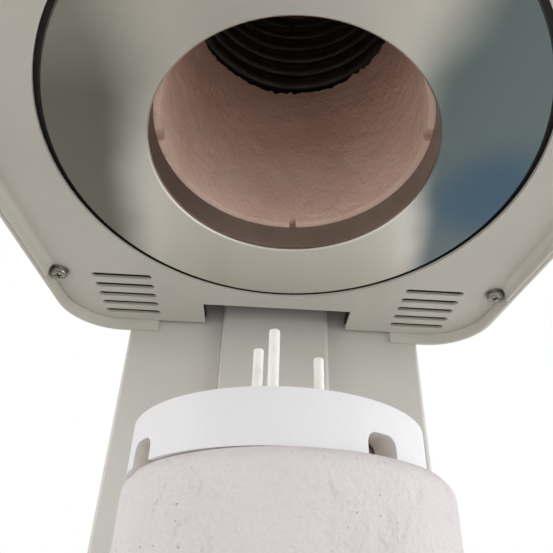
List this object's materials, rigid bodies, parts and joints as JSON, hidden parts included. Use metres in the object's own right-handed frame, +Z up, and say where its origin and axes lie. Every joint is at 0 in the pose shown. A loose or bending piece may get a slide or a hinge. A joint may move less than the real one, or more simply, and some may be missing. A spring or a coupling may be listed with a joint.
{
  "type": "dental porcelain furnace",
  "caption": "Dental porcelain furnace: a screw-driven platform lifts a ceramic firing tray into the muffle in its head.",
  "frame": {"origin": "on the floor, under the muffle's axis, which is the middle of the bounding box", "axes": "+Z up along the muffle's axis; -Y towards the operator; +X to the operator's right"},
  "size_m": [0.28, 0.38, 0.5908],
  "materials": {
    "housing_paint": "satin warm grey powder coat",
    "base_paint": "satin warm grey powder coat",
    "frame_zinc": "zinc-plated steel sheet",
    "dark_primer": "matt dark primer",
    "black_heat_paint": "black heat-resistant paint",
    "stainless": "brushed stainless sheet",
    "ground_steel": "ground steel",
    "screw_steel": "plated fastener",
    "cast_aluminium": "machined aluminium",
    "brass": "turned brass",
    "rubber": "matt black rubber",
    "silicone": "red-brown silicone",
    "panel_plastic": "dark grey, fine texture",
    "display_glass": "dark clear glass",
    "board": "green laminate",
    "key_light": "light grey keycap",
    "key_green": "green keycap",
    "key_red": "red keycap",
    "black_plastic": "black moulding",
    "winding": "wound core in amber film",
    "motor_black": "black enamel",
    "fire_brick": "rough pinkish insulating brick",
    "tray_ceramic": "smooth white fired ceramic",
    "peg_ceramic": "white glazed ceramic",
    "fibre": "rough vacuum-formed ceramic fibre",
    "element": "near-black glazed element"
  },
  "bodies": {
    "base": {"rubber_feet": "rubber", "floor_pan": "frame_zinc", "base_shell": "base_paint", "rear_panel": "base_paint", "control_panel": "panel_plastic", "display_window": "display_glass", "panel_board": "board", "transformer": "winding", "control_board": "board", "mains_inlet": "black_plastic", "power_switch_frame": "black_plastic", "fuse_holder": "black_plastic", "vacuum_nipple": "brass", "vacuum_valve": "black_plastic", "vacuum_pipe": "stainless", "column_frame": "frame_zinc", "column_front_cover": "housing_paint", "column_rear_cover": "housing_paint", "lower_bearing_plate": "cast_aluminium", "upper_bearing_plate": "cast_aluminium", "guide_rods": "ground_steel", "screw_bearings": "ground_steel", "limit_sensors": "black_plastic", "lift_motor": "motor_black", "head_shell": "housing_paint", "head_top_cover": "housing_paint", "head_frame": "dark_primer", "head_bolts": "screw_steel", "floor_plate": "housing_paint", "plate_screws": "screw_steel", "steel_disc": "stainless", "mouth_ring": "stainless", "muffle_casing": "black_heat_paint", "casing_lid": "stainless", "fibre_collar": "fibre", "fibre_lining": "fibre", "fibre_roof": "fibre", "heating_coil": "element", "coil_terminals": "element", "thermocouple": "peg_ceramic"},
    "lift": {"carriage": "cast_aluminium", "linear_bushes": "ground_steel", "screw_nut": "brass", "lift_strip": "housing_paint", "lift_arm": "cast_aluminium", "arm_screws": "screw_steel", "seal_plate": "stainless", "seal_ring": "silicone", "insulation_block": "fire_brick", "firing_tray": "tray_ceramic", "firing_pegs": "peg_ceramic"},
    "drive_screw": {"lead_screw": "ground_steel", "shaft_coupling": "cast_aluminium", "motor_shaft": "ground_steel"},
    "rocker": {"power_rocker": "black_plastic"},
    "start_key": {"start_key": "key_green"},
    "stop_key": {"stop_key": "key_red"},
    "lift_up_key": {"lift_up_key": "key_light"},
    "lift_down_key": {"lift_down_key": "key_light"}
  },
  "joints": [
    {"name": "platform_lift", "type": "slide", "parent": "base", "child": "lift", "axis": [0, 0, 1], "range_m": [0, 0.2108]},
    {"name": "screw_turn", "type": "hinge", "parent": "base", "child": "drive_screw", "pos_m": [0, 0.14395, 0.3], "axis": [0, 0, 1], "range_deg": [-9488, 0]},
    {"name": "rocker_tilt", "type": "hinge", "parent": "base", "child": "rocker", "pos_m": [0.109, 0.169, 0.078], "axis": [-1, 0, 0], "range_deg": [0, 20]},
    {"name": "start_press", "type": "slide", "parent": "base", "child": "start_key", "axis": [0, 0.6343, -0.7731], "range_m": [0, 0.0012], "stiffness_N_per_m": 600, "springref_m": -0.002},
    {"name": "stop_press", "type": "slide", "parent": "base", "child": "stop_key", "axis": [0, 0.6343, -0.7731], "range_m": [0, 0.0012], "stiffness_N_per_m": 600, "springref_m": -0.002},
    {"name": "lift_up_press", "type": "slide", "parent": "base", "child": "lift_up_key", "axis": [0, 0.6343, -0.7731], "range_m": [0, 0.0012], "stiffness_N_per_m": 600, "springref_m": -0.002},
    {"name": "lift_down_press", "type": "slide", "parent": "base", "child": "lift_down_key", "axis": [0, 0.6343, -0.7731], "range_m": [0, 0.0012], "stiffness_N_per_m": 600, "springref_m": -0.002}
  ],
  "couplings": [
    {"joint": "screw_turn", "follows": "platform_lift", "rad_per_m": -785.4}
  ]
}
